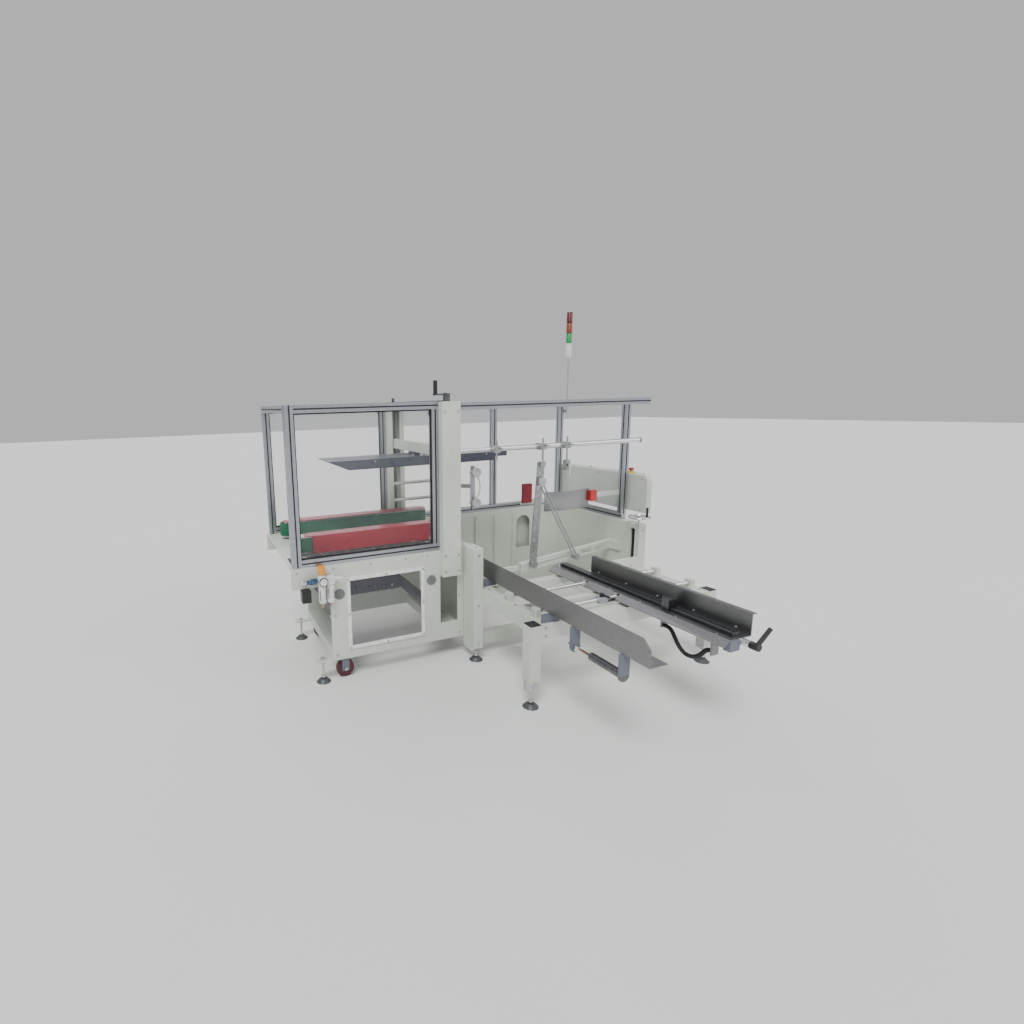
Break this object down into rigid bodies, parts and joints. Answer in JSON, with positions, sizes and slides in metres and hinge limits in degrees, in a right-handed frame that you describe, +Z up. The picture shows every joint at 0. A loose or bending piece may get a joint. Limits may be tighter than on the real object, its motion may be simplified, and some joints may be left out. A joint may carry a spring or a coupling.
{
  "type": "carton erector and sealer",
  "caption": "Upright carton erector with side-belt drive, bottom tape sealer, press ski, guards and a front blank magazine with sliding channel.",
  "frame": {"origin": "centre of the footprint on the floor", "axes": "+Z up, +X along the case's travel towards the forming pit, +Y away from the operator"},
  "size_m": [2.4, 2.07, 2.076],
  "materials": {
    "painted": "satin powder coat, greenish off-white",
    "dark_sheet": "dark satin paint",
    "white_trim": "matte",
    "clear_panel": "clear polycarbonate",
    "tape_head_paint": "dark purple-grey paint",
    "tape": "glossy tape",
    "black_rubber": "matte",
    "profile": "anodised",
    "brushed": "brushed",
    "chrome": "polished",
    "zinc": "zinc plated",
    "blue_grey": "satin paint",
    "crimson": "satin paint",
    "belt_green": "matte textured belt",
    "black_plastic": "fine grain",
    "red_plastic": "gloss",
    "orange_plastic": "gloss",
    "white_plastic": "satin",
    "maroon_wheel": "matte"
  },
  "bodies": {
    "frame": {"base_frame": "painted", "deck_plate": "painted", "roller_strip": "dark_sheet", "window_border": "white_trim", "window_pane": "clear_panel", "tape_head_frame": "tape_head_paint", "near_column": "painted", "far_column": "painted", "top_cover_plate": "dark_sheet", "guard_frames": "profile", "guard_panels": "clear_panel", "corner_post": "painted", "pit_walls": "painted", "right_column": "painted", "magazine_frame": "painted", "levelling_legs": "zinc", "guide_shafts": "chrome", "blank_guide": "brushed", "cylinder_body": "chrome", "overhead_tube": "chrome", "limit_switch": "zinc", "link_bars": "zinc", "slotted_bar": "painted", "flap_folder": "brushed", "control_box": "painted", "signal_tower": "white_plastic", "air_unit": "white_plastic", "junction_box": "black_plastic", "caster_forks": "blue_grey"},
    "press": {"cross_beam": "painted", "hold_down_ski": "blue_grey"},
    "crank": {"top_crank": "chrome"},
    "spindle": {"far_spindle": "chrome"},
    "near_unit": {"near_carriage": "zinc", "near_cover": "crimson", "near_belt": "belt_green"},
    "near_drum_a": {"near_drum_left": "dark_sheet"},
    "near_drum_b": {"near_drum_right": "dark_sheet"},
    "far_unit": {"far_carriage": "zinc", "far_belt": "belt_green"},
    "far_drum_a": {"far_drum_left": "dark_sheet"},
    "far_drum_b": {"far_drum_right": "dark_sheet"},
    "roll": {"tape_roll": "tape"},
    "front_arm": {"tape_front_arm": "black_rubber"},
    "rear_arm": {"tape_rear_arm": "black_rubber"},
    "rod": {"cylinder_rod": "chrome"},
    "channel": {"channel_rail": "brushed", "channel_guide": "dark_sheet", "channel_hose": "black_rubber"},
    "clamp": {"clamp_lever": "black_plastic"},
    "blank_pusher": {"pusher": "chrome"},
    "handle": {"lock_handle": "black_plastic"},
    "suction": {"suction_arm": "profile"},
    "wheel": {"hand_wheel": "black_plastic"},
    "link_knob": {"brace_knob": "zinc"},
    "stop": {"stop_button": "red_plastic"},
    "start": {"start_button": "red_plastic"},
    "air_knob": {"regulator_knob": "orange_plastic"},
    "switch_arm": {"switch_lever": "chrome"},
    "caster_rollers": {"caster_wheels": "maroon_wheel"}
  },
  "joints": [
    {"name": "press_lift", "type": "slide", "parent": "frame", "child": "press", "axis": [0, 0, 1], "range_m": [-0.14, 0.2]},
    {"name": "crank_turn", "type": "hinge", "parent": "frame", "child": "crank", "pos_m": [-0.319, 0.205, 1.45], "axis": [0, 0, 1], "range_deg": [-2018, 2882]},
    {"name": "spindle_turn", "type": "hinge", "parent": "frame", "child": "spindle", "pos_m": [-0.319, 0.987, 1.45], "axis": [0, 0, 1], "range_deg": [-2018, 2882]},
    {"name": "near_belt_shift", "type": "slide", "parent": "frame", "child": "near_unit", "axis": [0, 1, 0], "range_m": [-0.04, 0.03]},
    {"name": "far_belt_shift", "type": "slide", "parent": "frame", "child": "far_unit", "axis": [0, 1, 0], "range_m": [-0.03, 0.04]},
    {"name": "near_drive", "type": "hinge", "parent": "near_unit", "child": "near_drum_a", "pos_m": [-1.0965, 0.4375, 0.7], "axis": [0, 0, 1], "continuous": true},
    {"name": "near_idle", "type": "hinge", "parent": "near_unit", "child": "near_drum_b", "pos_m": [-0.2015, 0.4375, 0.7], "axis": [0, 0, 1], "continuous": true},
    {"name": "far_drive", "type": "hinge", "parent": "far_unit", "child": "far_drum_a", "pos_m": [-1.0965, 0.8525, 0.7], "axis": [0, 0, 1], "continuous": true},
    {"name": "far_idle", "type": "hinge", "parent": "far_unit", "child": "far_drum_b", "pos_m": [-0.2015, 0.8525, 0.7], "axis": [0, 0, 1], "continuous": true},
    {"name": "tape_unwind", "type": "hinge", "parent": "frame", "child": "roll", "pos_m": [-0.59, 0.645, 0.42], "axis": [0, 1, 0], "continuous": true},
    {"name": "front_arm_swing", "type": "hinge", "parent": "frame", "child": "front_arm", "pos_m": [-0.79, 0.645, 0.56], "axis": [0, 1, 0], "range_deg": [-25, 0], "stiffness_Nm_per_rad": 6, "springref_deg": 22.92},
    {"name": "rear_arm_swing", "type": "hinge", "parent": "frame", "child": "rear_arm", "pos_m": [-0.58, 0.645, 0.56], "axis": [0, 1, 0], "range_deg": [0, 25], "stiffness_Nm_per_rad": 6, "springref_deg": -22.92},
    {"name": "cylinder_stroke", "type": "slide", "parent": "frame", "child": "rod", "axis": [0, 1, 0], "range_m": [-0.05, 0]},
    {"name": "channel_shift", "type": "slide", "parent": "frame", "child": "channel", "axis": [1, 0, 0], "range_m": [-0.235, 0.3]},
    {"name": "clamp_turn", "type": "hinge", "parent": "channel", "child": "clamp", "pos_m": [0.256, -0.36, 0.462], "axis": [0, 0, 1], "range_deg": [-60, 60]},
    {"name": "blank_push", "type": "slide", "parent": "channel", "child": "blank_pusher", "axis": [0, 1, 0], "range_m": [-0.28, 0.7]},
    {"name": "handle_turn", "type": "hinge", "parent": "channel", "child": "handle", "pos_m": [0.425, -1, 0.448], "axis": [0, 1, 0], "range_deg": [-50, 60]},
    {"name": "suction_swing", "type": "hinge", "parent": "frame", "child": "suction", "pos_m": [-0.14, 0.5, 0.94], "axis": [0, 0, 1], "range_deg": [-30, 40]},
    {"name": "wheel_turn", "type": "hinge", "parent": "frame", "child": "wheel", "pos_m": [1.046, 0.182, 0.68], "axis": [0, 0, 1], "continuous": true},
    {"name": "knob_turn", "type": "hinge", "parent": "frame", "child": "link_knob", "pos_m": [0.272, 0.18, 0.975], "axis": [0, 1, 0], "range_deg": [-170, 170]},
    {"name": "stop_press", "type": "slide", "parent": "frame", "child": "stop", "axis": [0, 0, -1], "range_m": [0, 0.004], "stiffness_N_per_m": 800, "springref_m": -0.004},
    {"name": "start_press", "type": "slide", "parent": "frame", "child": "start", "axis": [0, 0, -1], "range_m": [0, 0.004], "stiffness_N_per_m": 500, "springref_m": -0.003},
    {"name": "air_knob_turn", "type": "hinge", "parent": "frame", "child": "air_knob", "pos_m": [-1.051, 0.16, 0.61], "axis": [0, 0, 1], "range_deg": [-170, 170]},
    {"name": "switch_swing", "type": "hinge", "parent": "frame", "child": "switch_arm", "pos_m": [0.447, 0.14, 1.062], "axis": [0, 1, 0], "range_deg": [-40, 40], "stiffness_Nm_per_rad": 0.08},
    {"name": "caster_roll", "type": "hinge", "parent": "frame", "child": "caster_rollers", "pos_m": [-0.935, 0.5, 0.05], "axis": [0, 1, 0], "continuous": true}
  ],
  "couplings": [
    {"joint": "crank_turn", "follows": "press_lift", "rad_per_m": 251.33},
    {"joint": "spindle_turn", "follows": "press_lift", "rad_per_m": 251.33},
    {"joint": "far_belt_shift", "follows": "near_belt_shift", "ratio": -1},
    {"joint": "near_idle", "follows": "near_drive", "ratio": 1},
    {"joint": "far_idle", "follows": "far_drive", "ratio": 1},
    {"joint": "rear_arm_swing", "follows": "front_arm_swing", "ratio": -1}
  ]
}
